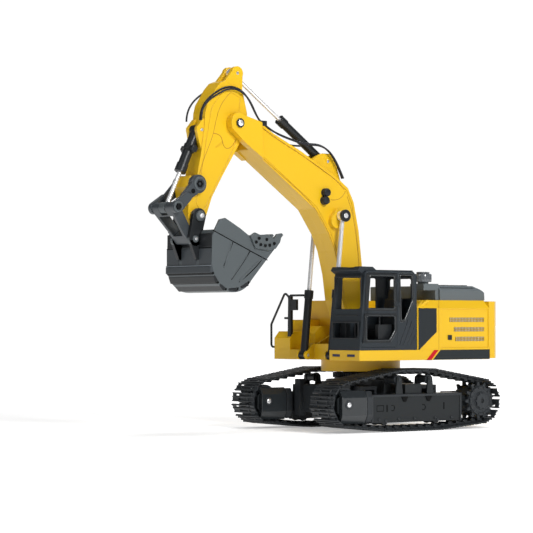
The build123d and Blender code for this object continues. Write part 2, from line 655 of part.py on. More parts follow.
def boom_lamps():
    lamps = []
    for s in (1, -1):
        for centre in ((71.4, 256.2), (72.8, 247.6)):
            low, high = sorted((s * BOOM_HALF, s * (BOOM_HALF + 6.0)))
            lamps.append(round_y(centre, 4.1, low, high))
    return Compound(children=lamps)


def tube_run(points, tube, y):
    """Round line in a side plane, a smooth curve through the (x, z) points."""
    path = Plane.XZ.offset(-y) * Spline(*points)
    return sweep(Plane(path @ 0, z_dir=path % 0) * Circle(tube), path=path)


def boom_hoses():
    """Hydraulic lines from the clip near the tip, free of the back, over the lug and down behind it."""
    lines = []
    for y, drop in zip(HOSE_Y, (0.0, 1.2, 0.4)):
        points = [(150.6, 323.6), (134.1, 317.0 - drop), (113.9, 311.4 - drop), (93.6, 308.0 - drop),
                  (77.6, 307.5 - drop),
                  (66.1, 303.0 - drop), (54.6, 291.0 - drop), (44.5, 272.5)]
        lines.append(tube_run(points, 1.0, y))
    return Compound(children=lines)


# ---------------------------------------------------------------- cylinders
def cylinder_barrel(base, pin, length, radius, eye_radius, y, eye_half):
    """Barrel with its base eye and gland, bored for the rod."""
    total = hypot(pin[0] - base[0], pin[1] - base[1])
    def at(distance):
        share = distance / total
        return base[0] + (pin[0] - base[0]) * share, base[1] + (pin[1] - base[1]) * share
    barrel = rod_between(at(eye_radius * 0.6), at(length), radius, y)
    barrel += rod_between(at(length - 9), at(length), radius + 0.8, y)
    barrel += round_y(base, eye_radius, y - eye_half, y + eye_half)
    return barrel - round_y(base, PIN_R + 0.05, y - 20, y + 20), at


def lift_barrels():
    solids = []
    for y in (CYL_Y, -CYL_Y):
        barrel, at = cylinder_barrel(CYL_BASE, CYL_PIN, 71.0, 4.2, 4.6, y, 4.6)
        solids.append(barrel - rod_between(at(8), at(75), 2.5, y))
    return Compound(children=solids)


def rod_with_eye(base, pin, start, radius, eye_outer, eye_bore, y, eye_half):
    total = hypot(pin[0] - base[0], pin[1] - base[1])
    share = start / total
    inner_end = (base[0] + (pin[0] - base[0]) * share, base[1] + (pin[1] - base[1]) * share)
    rod = rod_between(inner_end, pin, radius, y)
    rod += round_y(pin, eye_outer, y - eye_half, y + eye_half)
    return rod - round_y(pin, eye_bore, y - 20, y + 20)


def lift_rods():
    rods = [rod_with_eye(CYL_BASE, CYL_PIN, 46.0, 2.43, 5.6, 3.6, y, 3.0) for y in (CYL_Y, -CYL_Y)]
    return Compound(children=rods)


def arm_barrel():
    barrel, at = cylinder_barrel(ARM_CYL_BASE, ARM_CYL_EYE, 74.0, 4.8, 5.0, 0, 4.6)
    return barrel - rod_between(at(8), at(80), 2.4, 0)


def arm_rod():
    return rod_with_eye(ARM_CYL_BASE, ARM_CYL_EYE, 54.0, 2.33, 6.0, 4.8, 0, 3.8)


def bucket_barrel():
    barrel, at = cylinder_barrel(BUCKET_CYL_BASE, ROCKER_PIN, 49.0, 5.4, 5.6, 0, 5.0)
    barrel += rod_between(at(18), at(24), 6.4, 0) - rod_between(at(8), at(30), 5.0, 0)
    return barrel - rod_between(at(8), at(55), 2.4, 0)


def bucket_rod():
    return rod_with_eye(BUCKET_CYL_BASE, ROCKER_PIN, 30.0, 2.33, 5.4, 3.9, 0, 4.4)


# ---------------------------------------------------------------- stick
def stick_outline():
    front_line = [(201, 369.5), (208, 366.8), (214.5, 360), (226, 342.5), (228.3, 334), (229.5, 316),
                  (234, 289.5),
                  (238.6, 267.8), (247.6, 267.8), (252.5, 256), (249.6, 243), (250, 226), (246, 216)]
    back_line = [(230, 219), (219.6, 246.5), (206.7, 268), (184.8, 302), (174, 322), (173.6, 336),
                 (178.8, 356)]
    return polygon(front_line + back_line, 1.6) + disc(BUCKET_PIVOT, 9.0)


def stick_half():
    """Left half shell of the stick with the cylinder ears."""
    outline = stick_outline()
    inside = offset(outline, -WALL, kind=Kind.INTERSECTION)
    half = side(outline, 0, STICK_HALF) - side(inside, -1, STICK_HALF - WALL)
    half -= groove(polygon([(182, 352), (203, 362), (221, 340), (236, 262), (241, 240), (233, 226),
                            (188, 303)], 2.0), 0.5,
                   STICK_HALF)
    ear = polygon([(179, 355), (203, 367), (191, 381), (178, 379)], 2) + disc(ARM_CYL_EYE, 7.4)
    half += side(ear, 4.4, 8.8)
    lug = polygon([(226, 330), (231, 327), (238.5, 318), (237, 309), (233, 296), (228, 300)],
                  1) + disc(BUCKET_CYL_BASE, 6.4)
    half += side(lug, 5.6, 9.6)
    half -= side(disc(ARM_CYL_EYE, 8.6), -1, 4.4)
    half -= side(capsule(BUCKET_CYL_BASE, (240.5, 296.5), 7.4, 6.2), -1, 5.6)
    half += side(disc(BUCKET_PIVOT, 7.4) + disc(ROCKER_PIVOT, 7.4), STICK_HALF - 1, STICK_HALF + 0.6)
    mark = capsule((206, 304), (214, 299), 1.0, 1.0) - capsule((206, 304), (214, 299), 0.45, 0.45)
    half -= side(mark, STICK_HALF - 0.4, STICK_HALF + 1)
    for centre, bore in ((BOOM_TIP, 3.25), (ARM_CYL_EYE, PIN_R), (BUCKET_CYL_BASE, PIN_R),
                         (ROCKER_PIVOT, 2.55),
                         (BUCKET_PIVOT, 2.55)):
        half -= round_y(centre, bore, -1, 20)
    return half


def stick_pins():
    """Pins of both cylinders on the stick."""
    return Compound(children=[round_y(ARM_CYL_EYE, PIN_R, -9.4, 9.4),
                              round_y(BUCKET_CYL_BASE, PIN_R, -10.2, 10.2)])


def stick_hoses():
    """Lines that arch over the stick's head and run down to the bucket cylinder."""
    lines = []
    for y, rise in zip(HOSE_Y, (0.0, -2.2, 0.0)):
        points = [(152.6, 325.2), (160.6, 332.5 + rise), (169.3, 345.8 + rise), (180.3, 358.0 + rise),
                  (195.4, 362.6 + rise),
                  (216.8, 354.9 + rise), (231.0, 342.0), (236.0, 325.4)]
        lines.append(tube_run(points, 1.0, y))
    return Compound(children=lines)


# ---------------------------------------------------------------- bucket linkage and bucket
def rocker():
    """Two side arms on the stick, joined by their upper and lower pins."""
    middle = ((ROCKER_PIVOT[0] * 0.42 + ROCKER_PIN[0] * 0.58),
              (ROCKER_PIVOT[1] * 0.42 + ROCKER_PIN[1] * 0.58))
    arm = side(disc(ROCKER_PIVOT, 9.6), 11.4, 17.0)
    arm += side(capsule(ROCKER_PIVOT, middle, 7.5, 4.6), 13.6, 18.4)
    arm += side(capsule(middle, ROCKER_PIN, 4.6, 6.4), 17.4, 22.4)
    arm -= side(disc(ROCKER_PIVOT, 6.4), 15.0, 18.0)
    arm -= round_y(((middle[0] * 0.75 + ROCKER_PIVOT[0] * 0.25),
                    (middle[1] * 0.75 + ROCKER_PIVOT[1] * 0.25)), 1.9, 12, 20)
    arms = pair(arm)
    return arms + round_y(ROCKER_PIVOT, 2.5, -16.4, 16.4) + round_y(ROCKER_PIN, 2.2, -23.6, 23.6)


def h_link():
    """Link from the rocker pin to the bucket, waisted towards the bucket."""
    outline = capsule(ROCKER_PIN, LINK_PIVOT, 5.6, 5.2)
    link = side(outline, -17.0, 17.0)
    length = hypot(ROCKER_PIN[0] - LINK_PIVOT[0], ROCKER_PIN[1] - LINK_PIVOT[1])
    frame = along(ROCKER_PIN, LINK_PIVOT)

    def sloped(points):
        return frame * extrude(Plane.XY.offset(-9) * polygon(points), amount=18)

    for s in (1, -1):
        link -= sloped([(4, s * 17.0), (length - 14, s * 12.6), (length + 8, s * 12.4),
                        (length + 8, s * 20), (4, s * 20)])
    link -= sloped([(7.5, -12.0), (length - 8, -8.0), (length - 8, 8.0), (7.5, 12.0)])
    link -= side(disc(ROCKER_PIN, 8.0), -5.6, 5.6)
    link -= round_y(ROCKER_PIN, 2.25, -20, 20)
    return link - round_y(LINK_PIVOT, 3.9, -20, 20)


def tooth_outline():
    return polygon([(163, 197), (158, 193.6), (144.6, 208.0), (146.4, 209.4), (160, 202)])


def bucket_profile():
    """Closed side outline of the bucket, mouth upwards and teeth towards the machine."""
    heel = ThreePointArc((190, 160), (222, 148.6), (241.5, 176))
    lip = Polyline((241.5, 176), (240.5, 205), (231, 222), (224, 223.6), (205, 213.6), (194, 206.6),
                   (155.5, 204.5),
                   (153.5, 199.5), (190, 160))
    return make_face(heel + lip)


def bucket():
    """Welded bucket: side plates, curved skin, ears, cross tubes, gussets and pins."""
    profile = bucket_profile()
    body = side(profile, -BUCKET_HALF, BUCKET_HALF)
    hollow = polygon([(232, 230), (190, 230), (150, 230), (150, 206.5), (158.6, 201.4), (192, 163.6),
                      (205, 156.0),
                      (222, 153.6), (233, 160), (238.4, 176), (237.6, 203), (228, 219.5)])
    body -= side(hollow, -BUCKET_HALF + 2.4, BUCKET_HALF - 2.4)
    body -= block(224, 246, -BUCKET_HALF + 2.4, BUCKET_HALF - 2.4, 211.5, 230)
    for y in TOOTH_Y:
        body -= side(tooth_outline(), y - 3.42, y + 3.42)
    for s in (1, -1):
        low, high = sorted((s * 13.2, s * 17.0))
        ear = capsule(BUCKET_PIVOT, LINK_PIVOT, 8.0, 7.2)
        ear += polygon([(238, 180), (244, 182), (252, 200), (238, 205)])
        inside = polygon([(150, 100), (238.5, 100), (238.5, 204), (230, 218), (150, 218)])
        body += side(ear, low, high) - side(inside, low - 1, high + 1)
    body += block(226, 240, -13.4, 13.4, 207, 210)
    body += round_y(BUCKET_PIVOT, 2.5, -18.2, 18.2) + round_y(LINK_PIVOT, 1.8, -18.2, 18.2)
    for y in (BUCKET_HALF - 0.1, -BUCKET_HALF + 0.1):
        for top, foot in (((216, 198), (225, 173)), ((192, 189), (215, 161)), ((176, 183), (205, 159))):
            body += side(capsule(foot, top, 1.0, 0.7), y - 0.6, y + 0.6)
    return body


def bucket_teeth():
    """Lip teeth and the side cutters with their bolts."""
    pieces = []
    for y in TOOTH_Y:
        pieces.append(side(tooth_outline(), y - 3.4, y + 3.4))
    for s in (1, -1):
        low, high = sorted((s * (BUCKET_HALF + 0.05), s * (BUCKET_HALF + 2.4)))
        plate = polygon([(193, 206), (187, 209.5), (180, 207), (170, 208), (162, 203), (158, 208.5),
                         (151, 209.6),
                         (154, 200), (160, 193), (168, 191), (186, 193)], 0.5)
        cutter = side(plate, low, high)
        for x, z in ((162, 198.5), (168, 196.5), (174, 196), (180, 197), (186, 199.5), (172, 202.5),
                     (182, 203.5)):
            cutter -= round_y((x, z), 1.0, low - 1, high + 1)
        pieces.append(cutter)
    return Compound(children=pieces)


# ---------------------------------------------------------------- write every piece
def main():
    os.makedirs("parts", exist_ok=True)
    nodes = {
        "x_frame": x_frame(),
        "slew_ring_gear": slew_ring_gear(),
        "travel_gearboxes": travel_gearboxes(),
        "house_deck": house_deck(),
        "centre_frame": centre_frame(),
        "house_pins": house_pins(),
        "left_housing": left_housing(),
        "right_housing": right_housing(),
        "right_front_box": right_front_box(),
        "engine_hood": engine_hood(),
        "air_cleaner": air_cleaner(),
        "counterweight": counterweight(),
        "cab_shell": cab_shell(),
        "cab_roof": cab_roof(),
        "cab_seat": cab_seat(),
        "cab_door": cab_door(),
        "handrail": handrail(),
        "battery_pack": battery_pack(),
        "control_board": control_board(),
        "speaker": speaker(),
        "slew_motor": slew_motor(),
        "slew_pinion": slew_pinion(),
        "boom_gear_unit": boom_gear_unit(),
        "house_screws": screws(),
        "power_switch": power_switch(),
        "boom_pins": boom_pins(),
        "boom_lamps": boom_lamps(),
        "boom_hoses": boom_hoses(),
        "boom_cylinder_barrels": lift_barrels(),
        "boom_cylinder_rods": lift_rods(),
        "arm_cylinder_barrel": arm_barrel(),
        "arm_cylinder_rod": arm_rod(),
        "stick_pins": stick_pins(),
        "stick_hoses": stick_hoses(),
        "bucket_cylinder_barrel": bucket_barrel(),
        "bucket_cylinder_rod": bucket_rod(),
        "rocker": rocker(),
        "h_link": h_link(),
        "bucket": bucket(),
        "bucket_teeth": bucket_teeth(),
    }
    boom_left = boom_half()
    stick_left = stick_half()
    nodes["boom_shell_left"] = boom_left
    nodes["boom_shell_right"] = mirror(boom_left, Plane.XZ)
    nodes["stick_shell_left"] = stick_left
    nodes["stick_shell_right"] = mirror(stick_left, Plane.XZ)
    for name, sign in (("left", 1), ("right", -1)):
        y = sign * TRACK_Y
        nodes["track_frame_" + name] = track_frame(y)
        nodes["track_chain_" + name] = track_chain(y)
        nodes["idler_" + name] = idler(y)
        nodes["sprocket_" + name] = sprocket(y, sign)
        for place, carrier_x, roller_x in zip(("front", "rear"), CARRIER_X, ROLLER_X):
            nodes["carrier_roller_" + name + "_" + place] = spool_roller(carrier_x, CARRIER_Z, CARRIER_R, y)
            nodes["bottom_roller_" + name + "_" + place] = spool_roller(roller_x, ROLLER_Z, ROLLER_R, y)
    for node, shape in nodes.items():
        export_step(shape, os.path.join("parts", node + ".step"))
        print(node, len(shape.solids()), round(shape.volume, 1))


if __name__ == "__main__":
    main()
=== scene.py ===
import json
import math
from collections import namedtuple

import bmesh
import bpy
from mathutils import Matrix, Vector


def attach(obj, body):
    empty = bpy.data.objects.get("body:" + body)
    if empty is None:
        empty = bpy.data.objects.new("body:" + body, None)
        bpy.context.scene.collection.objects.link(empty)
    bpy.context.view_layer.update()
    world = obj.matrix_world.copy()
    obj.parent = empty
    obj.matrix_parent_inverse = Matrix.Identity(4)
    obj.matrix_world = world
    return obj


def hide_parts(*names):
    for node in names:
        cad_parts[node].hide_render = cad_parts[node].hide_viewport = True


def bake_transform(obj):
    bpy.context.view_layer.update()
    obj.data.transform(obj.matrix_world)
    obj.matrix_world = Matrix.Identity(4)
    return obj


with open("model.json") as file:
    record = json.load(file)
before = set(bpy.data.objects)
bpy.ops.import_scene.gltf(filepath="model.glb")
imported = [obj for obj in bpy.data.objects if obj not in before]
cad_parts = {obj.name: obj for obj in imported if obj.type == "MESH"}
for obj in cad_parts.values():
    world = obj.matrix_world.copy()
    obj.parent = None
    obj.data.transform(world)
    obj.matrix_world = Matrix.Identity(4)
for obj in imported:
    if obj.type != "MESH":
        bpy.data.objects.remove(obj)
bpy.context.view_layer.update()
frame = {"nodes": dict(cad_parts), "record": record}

# Looks, trim and light of a toy excavator. The solid bodies come from the frame, and each piece made here
# rides on one of them, except a fixed copy of the stick hoses.
# Trim is written in millimetres: +X to the front, +Y to the cab's side, +Z up.
NODES = frame["nodes"]

# ------------------------------------------------------------- driving places, in millimetres
SIDES = (1, -1)
TRACK_CENTRES = {"left": 68.0, "right": -68.0}
HOUSE_SIDE = 79.0
BOOM_SIDE = 14.5
STICK_SIDE = 10.6
BUCKET_SIDE = 39.5
BUCKET_BACK = 241.2
TRACK_FRAME_SIDE = 11.0
YOKE_SIDE = 16.4
SPROCKET_SIDE = 12.2
DOOR_FACE = 78.6
# Pin centres in the side view, (x, z).
STICK_PIN = (190, 324.5)
LIFT_PIN = (53.5, 231.3)
BUCKET_PIN = (240.5, 226)
LINK_PIN = (246, 202)
ROCKER_PIN = (241, 259)
ROCKER_END = (271, 234.3)
IDLER_AXLE = (96, 30)
SPROCKET_AXLE = (-96, 30)

# ------------------------------------------------------------- camera, in metres and degrees
CAMERA_AZIMUTH = 51.99
CAMERA_ELEVATION = -1.40
CAMERA_PLACE = (1.57285, 1.83411, 0.11876)
CAMERA_LENS = 147.74


def put_camera():
    """Long lens level with the house, off the front corner on the cab's side."""
    az = math.radians(CAMERA_AZIMUTH)
    el = math.radians(CAMERA_ELEVATION)
    back = Vector((math.cos(el) * math.cos(az), math.cos(el) * math.sin(az), math.sin(el)))
    right = Vector((0, 0, 1)).cross(back).normalized()
    up = back.cross(right)
    camera = bpy.data.objects.new("camera", bpy.data.cameras.new("camera"))
    bpy.context.scene.collection.objects.link(camera)
    camera.data.lens = CAMERA_LENS
    camera.data.sensor_width = 36
    camera.data.clip_start = 0.05
    place = Matrix((right, up, back)).transposed().to_4x4()
    place.translation = Vector(CAMERA_PLACE)
    camera.matrix_world = place
    bpy.context.scene.camera = camera


# ------------------------------------------------------------- light and backdrop, in metres
WALL_DIRECTION = (-0.616, -0.788, 0)
# The wall fades in between these two cosines of the angle off its direction.
WALL_EDGE = (0.80, 0.95)
WALL_STRENGTH = (0.11, 1.02)


def area(name, place, target, size, power):
    """Round soft light aimed at a target."""
    data = bpy.data.lights.new(name, "AREA")
    data.shape = "DISK"
    data.size = size
    data.energy = power
    lamp = bpy.data.objects.new(name, data)
    bpy.context.scene.collection.objects.link(lamp)
    lamp.location = place
    lamp.rotation_euler = (Vector(target) - Vector(place)).to_track_quat("-Z", "Y").to_euler()


def map_range(tree, source, goal, given, wanted):
    """Carry a value from one socket to another, from the given range to the wanted one."""
    spread = tree.nodes.new("ShaderNodeMapRange")
    spread.inputs["From Min"].default_value = given[0]
    spread.inputs["From Max"].default_value = given[1]
    spread.inputs["To Min"].default_value = wanted[0]
    spread.inputs["To Max"].default_value = wanted[1]
    tree.links.new(source, spread.inputs["Value"])
    tree.links.new(spread.outputs["Result"], goal)


def studio():
    """White wall on the far side of the object, dim grey all round."""
    world = bpy.data.worlds.new("studio")
    bpy.context.scene.world = world
    world.use_nodes = True
    tree = world.node_tree
    background = tree.nodes["Background"]
    background.inputs["Color"].default_value = (1, 1, 1, 1)
    place = tree.nodes.new("ShaderNodeTexCoord")
    facing = tree.nodes.new("ShaderNodeVectorMath")
    facing.operation = "DOT_PRODUCT"
    facing.inputs[1].default_value = WALL_DIRECTION
    tree.links.new(place.outputs["Generated"], facing.inputs[0])
    map_range(tree, facing.outputs["Value"], background.inputs["Strength"], WALL_EDGE, WALL_STRENGTH)


def plain_colours():
    """Colours shown as they are, with no film curve."""
    view = bpy.context.scene.view_settings
    view.view_transform = "Standard"
    view.look = "None"
    view.exposure = 0.0


put_camera()
area("key", place=(0.35, 2.6, 1.5), target=(0.0, 0, 0.15), size=0.8, power=59)
area("front", place=(2.4, 0.3, 1.6), target=(0.05, 0, 0.12), size=0.8, power=8)
area("top", place=(-0.4, 0.2, 2.6), target=(0.0, 0, 0.15), size=1.0, power=26)
area("back", place=(-1.8, -1.4, 1.4), target=(0.05, 0, 0.15), size=1.2, power=10)
studio()
plain_colours()

# ------------------------------------------------------------- materials, in metres
EDGE_RADIUS = 0.0007
BUMP_DEPTH = 0.0002
ROUGHNESS_SWING = 0.06
MATS = {}


def material(name, colour, rough, metal=0.0, grain=0.0, scale=900.0, glow=0.0, shine=0.5):
    """Principled surface with rounded edges, and fine noise in its roughness and height if grained."""
    mat = bpy.data.materials.new(name)
    mat.use_nodes = True
    tree = mat.node_tree
    shader = tree.nodes["Principled BSDF"]
    shader.inputs["Base Color"].default_value = (*colour, 1)
    shader.inputs["Roughness"].default_value = rough
    shader.inputs["Metallic"].default_value = metal
    shader.inputs["Specular IOR Level"].default_value = shine
    if glow:
        shader.inputs["Emission Color"].default_value = (*colour, 1)
        shader.inputs["Emission Strength"].default_value = glow
    edge = tree.nodes.new("ShaderNodeBevel")
    edge.samples = 6
    edge.inputs["Radius"].default_value = EDGE_RADIUS
    tree.links.new(edge.outputs["Normal"], shader.inputs["Normal"])
    if grain:
        place = tree.nodes.new("ShaderNodeTexCoord")
        noise = tree.nodes.new("ShaderNodeTexNoise")
        noise.inputs["Scale"].default_value = scale
        noise.inputs["Detail"].default_value = 3
        tree.links.new(place.outputs["Object"], noise.inputs["Vector"])
        bump = tree.nodes.new("ShaderNodeBump")
        bump.inputs["Strength"].default_value = grain
        bump.inputs["Distance"].default_value = BUMP_DEPTH
        tree.links.new(noise.outputs["Fac"], bump.inputs["Height"])
        tree.links.new(edge.outputs["Normal"], bump.inputs["Normal"])
        tree.links.new(bump.outputs["Normal"], shader.inputs["Normal"])
        swing = (max(0.02, rough - ROUGHNESS_SWING), rough + ROUGHNESS_SWING)
        map_range(tree, noise.outputs["Fac"], shader.inputs["Roughness"], (0, 1), swing)
    MATS[name] = mat
    return mat


# Slots of the solid bodies.
material("yellow_paint", (0.74, 0.445, 0.006), 0.36, grain=0.12, scale=1500)
material("cab_grey", (0.021, 0.027, 0.033), 0.40, grain=0.25, scale=1600, shine=0.3)
material("black_plastic", (0.014, 0.016, 0.018), 0.34, grain=0.15, shine=0.3)
material("track_black", (0.028, 0.032, 0.036), 0.38, grain=0.3, scale=1200, shine=0.3)
material("bucket_grey", (0.080, 0.093, 0.099), 0.40, grain=0.2, scale=1500, shine=0.3)
material("chrome_rod", (0.90, 0.90, 0.92), 0.26, metal=0.65)
material("steel_pin", (0.70, 0.71, 0.73), 0.28, metal=0.8)
material("hose_rubber", (0.012, 0.013, 0.018), 0.42, shine=0.3)
material("gear_nylon", (0.80, 0.79, 0.75), 0.5)
material("board_green", (0.02, 0.20, 0.07), 0.5)
material("cell_blue", (0.03, 0.12, 0.45), 0.35)
# Finer looks within those slots.
material("red_stripe", (0.50, 0.006, 0.014), 0.35, shine=0.2)
material("slot_blue", (0.012, 0.022, 0.09), 0.4)
# Darker amber, painted as the shade in moulded grooves and panel splits.
material("amber_line", (0.42, 0.20, 0.006), 0.5)
# Near black for weld lines, marks, holes and bolt heads; also painted as the shade under the edge of each
# wear bar.
material("dark_seam", (0.004, 0.0045, 0.005), 0.5, shine=0.1)
# Light grey, painted as the highlight on the top edge of the bucket's first wear bar.
material("grey_rim", (0.16, 0.185, 0.21), 0.35)
material("link_grey", (0.045, 0.053, 0.060), 0.34, grain=0.15, scale=1500, shine=0.4)
material("frame_black", (0.015, 0.018, 0.020), 0.38, grain=0.3, scale=1200, shine=0.3)
material("gloss_black", (0.020, 0.024, 0.027), 0.22, shine=0.6)
material("hood_grey", (0.108, 0.126, 0.135), 0.42, grain=0.25, scale=1600, shine=0.3)
material("panel_dark", (0.014, 0.018, 0.021), 0.40, shine=0.3)
material("smoke", (0.10, 0.11, 0.12), 0.16)
material("louvre_metal", (0.62, 0.56, 0.42), 0.35)

LOOK_OF = {"rocker": "link_grey", "h_link": "link_grey", "engine_hood": "hood_grey",
           "air_cleaner": "hood_grey", "track_frame_left": "frame_black",
           "track_frame_right": "frame_black", "slew_ring_gear": "black_plastic"}
SLOT_OF = {part["node"]: part["material_slot"] for part in frame["record"]["subparts"]}
for name, node in NODES.items():
    node.data.materials.clear()
    node.data.materials.append(MATS[LOOK_OF.get(name, SLOT_OF[name])])

# ------------------------------------------------------------- building blocks, in millimetres
# Where a piece belongs: the body it rides on, its material slot, and a look if it isn't the slot's own.
Home = namedtuple("Home", "body slot look", defaults=[None])
SHARP_ANGLE = math.radians(35)


def metres(x, y, z):
    """A point in millimetres, in the frame's metres."""
    return (x / 1000, y / 1000, z / 1000)


def layer(near, far, s, centre=0.0):
    """Range of y between two distances outwards from a centre plane, on side s."""
    return sorted((centre + near * s, centre + far * s))


def arc(cx, cz, radius, start, end, steps=10):
    """Points on an arc in the side view, angles in degrees."""
    out = []
    for i in range(steps + 1):
        a = math.radians(start + (end - start) * i / steps)
        out.append((cx + radius * math.cos(a), cz + radius * math.sin(a)))
    return out


def capsule_outline(a, b, near_radius, far_radius, steps=9):
    """Outline of two discs and the band between them, in the side view."""
    turn = math.degrees(math.atan2(b[1] - a[1], b[0] - a[0]))
    return (arc(a[0], a[1], near_radius, turn + 90, turn + 270, steps)
            + arc(b[0], b[1], far_radius, turn - 90, turn + 90, steps))


def finish_piece(mesh, name, home, soften=0.0):
    """Turn a mesh into a piece at home on its body, with a small bevel if softened."""
    mesh.materials.append(MATS[home.look or home.slot])
    piece = bpy.data.objects.new(name, mesh)
    bpy.context.scene.collection.objects.link(piece)
    if soften:
        bevel = piece.modifiers.new("soft", "BEVEL")
        bevel.width = soften / 1000
        bevel.segments = 2
        bevel.limit_method = "ANGLE"
    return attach(piece, home.body)


def plain_mesh(name, verts, faces):
    """Mesh with its faces as given."""
    mesh = bpy.data.meshes.new(name)
    mesh.from_pydata(verts, [], faces)
    return mesh


def outward_mesh(name, verts, faces):
    """Mesh with every face turned outwards."""
    mesh = plain_mesh(name, verts, faces)
    work = bmesh.new()
    work.from_mesh(mesh)
    bmesh.ops.recalc_face_normals(work, faces=work.faces)
    work.to_mesh(mesh)
    work.free()
    return mesh


def prism(points, depth, name, home, axis="y", soften=0.0):
    """Outline extruded over a depth range. Points are (x, z) along axis y and (y, z) along axis x."""
    def at(p, d):
        return metres(p[0], d, p[1]) if axis == "y" else metres(d, p[0], p[1])
    near, far = depth
    count = len(points)
    verts = [at(p, near) for p in points] + [at(p, far) for p in points]
    faces = [tuple(range(count)), tuple(reversed(range(count, 2 * count)))]
    for i in range(count):
        j = (i + 1) % count
        faces.append((i, i + count, j + count, j))
    return finish_piece(outward_mesh(name, verts, faces), name, home, soften)


def box(x, y, z, name, home, soften=0.25):
    """Block between two values of x, of y and of z."""
    corners = [(x[0], z[0]), (x[1], z[0]), (x[1], z[1]), (x[0], z[1])]
    return prism(corners, y, name, home, soften=soften)


def many_boxes(cells, name, home):
    """One mesh from many small blocks, each given by its ranges of x, y and z."""
    verts = []
    faces = []
    for cell_x, cell_y, cell_z in cells:
        first = len(verts)
        verts += [metres(x, y, z) for x in cell_x for y in cell_y for z in cell_z]
        faces += [tuple(first + i for i in face) for face in
                  ((0, 1, 3, 2), (4, 6, 7, 5), (0, 4, 5, 1), (2, 3, 7, 6), (0, 2, 6, 4), (1, 5, 7, 3))]
    return finish_piece(plain_mesh(name, verts, faces), name, home)


def ring_plate(outer, inner, depth, name, home):
    """Flat frame between two outlines with the same number of points, in the side view."""
    count = len(outer)
    verts = []
    for y in depth:
        for outline in (outer, inner):
            verts += [metres(x, y, z) for x, z in outline]
    faces = []
    back = 2 * count
    for i in range(count):
        j = (i + 1) % count
        a, b, c, d = i, j, count + j, count + i
        faces += [(a, b, c, d), (d + back, c + back, b + back, a + back), (a + back, b + back, b, a),
                  (d, c, c + back, d + back)]
    return finish_piece(outward_mesh(name, verts, faces), name, home)


def lathe(profile, start, direction, name, home, sides=32):
    """Solid of revolution. Profile points are (distance along the axis, radius)."""
    turn = Vector((0, 0, 1)).rotation_difference(Vector(direction)).to_matrix()
    verts = []
    for along, radius in profile:
        for i in range(sides):
            a = 2 * math.pi * i / sides
            p = turn @ Vector((radius * math.cos(a), radius * math.sin(a), along))
            verts.append(tuple((p + Vector(start)) / 1000))
    faces = []
    for first in range(0, (len(profile) - 1) * sides, sides):
        for i in range(sides):
            j = (i + 1) % sides
            faces.append((first + i, first + j, first + sides + j, first + sides + i))
    faces.append(tuple(reversed(range(sides))))
    faces.append(tuple(range(len(verts) - sides, len(verts))))
    mesh = plain_mesh(name, verts, faces)
    for poly in mesh.polygons:
        poly.use_smooth = len(poly.vertices) == 4
    mesh.set_sharp_from_angle(angle=SHARP_ANGLE)
    return finish_piece(mesh, name, home)


def turned(profile, spot, out, s, name, home, sides=32, centre=0.0):
    """Turned part on side s, starting at a distance out from the centre plane and pointing outwards."""
    return lathe(profile, (spot[0], centre + out * s, spot[1]), (0, s, 0), name, home, sides)


def tube(points, radius, name, home, turns=10, closed=False):
    """Smooth round line through the points, as a mesh."""
    curve = bpy.data.curves.new(name, "CURVE")
    curve.dimensions = "3D"
    curve.bevel_depth = radius / 1000
    curve.bevel_resolution = 4
    curve.resolution_u = turns
    curve.use_fill_caps = True
    line = curve.splines.new("NURBS")
    line.points.add(len(points) - 1)
    for spot, p in zip(line.points, points):
        spot.co = (*metres(*p), 1)
    line.use_endpoint_u = True
    line.order_u = 4
    line.use_cyclic_u = closed
    rough = bpy.data.objects.new(name, curve)
    bpy.context.scene.collection.objects.link(rough)
    bpy.context.view_layer.update()
    mesh = bpy.data.meshes.new_from_object(rough.evaluated_get(bpy.context.evaluated_depsgraph_get()))
    bpy.data.objects.remove(rough)
    for poly in mesh.polygons:
        poly.use_smooth = True
    mesh.materials.clear()
    return finish_piece(mesh, name, home)


def side_line(points, y, radius, name, home):
    """Thin moulded line along a side face, through (x, z) points."""
    return tube([(x, y, z) for x, z in points], radius, name, home, turns=6)


def pin_end(spot, out, s, radius, body, rim=None):
    """Chamfered pin end, with a washer under it if a rim radius is given."""
    turned([(0, radius), (1.2, radius), (1.6, radius * 0.8)], spot, out, s, "pin_end",
           Home(body, "steel_pin", "chrome_rod"))
    if rim:
        turned([(0, rim), (0.6, rim), (0.8, rim - 0.3), (0.8, radius)], spot, out - 0.1, s, "pin_rim",
               Home(body, "black_plastic"))


# ------------------------------------------------------------- house markings
def house_markings():
    """Dark panels, slanted stripe, panel lock, and slots in the deck's front."""
    skin = (HOUSE_SIDE, HOUSE_SIDE + 0.2)
    low, high = 75.7, 86.3
    dark = Home("house", "cab_grey", "panel_dark")
    prism([(-6.4, 86.7), (-6.4, 131.5), (-32.6, 131.5), (-32.6, 105.8), (-7.4, 86.7)],
          (HOUSE_SIDE, HOUSE_SIDE + 0.5), "front_panel", dark)
    prism([(-36.0, high), (-29.2, high), (-18.2, low), (-25.0, low)], skin, "red_stripe",
          Home("house", "yellow_paint", "red_stripe"))
    prism([(-38.5, high), (-27.5, low), (-111.8, low), (-111.8, high)], skin, "lower_band", dark)
    box((-56, -50), (HOUSE_SIDE - 0.75, HOUSE_SIDE - 0.3), (97, 102.4), "panel_lock",
        Home("house", "black_plastic"))
    for y in (34.0, 58.5):
        box((76.3, 76.7), (y + 0.1, y + 12.9), (79.7, 82.3), "front_slot",
            Home("house", "black_plastic", "slot_blue"))


house_markings()

# ------------------------------------------------------------- boom and stick trim
# Dark amber lines painted as the shade in the moulded grooves.
BOOM_LINE = Home("boom", "yellow_paint", "amber_line")
STICK_LINE = Home("stick", "yellow_paint", "amber_line")
BOOM_BLACK = Home("boom", "black_plastic")


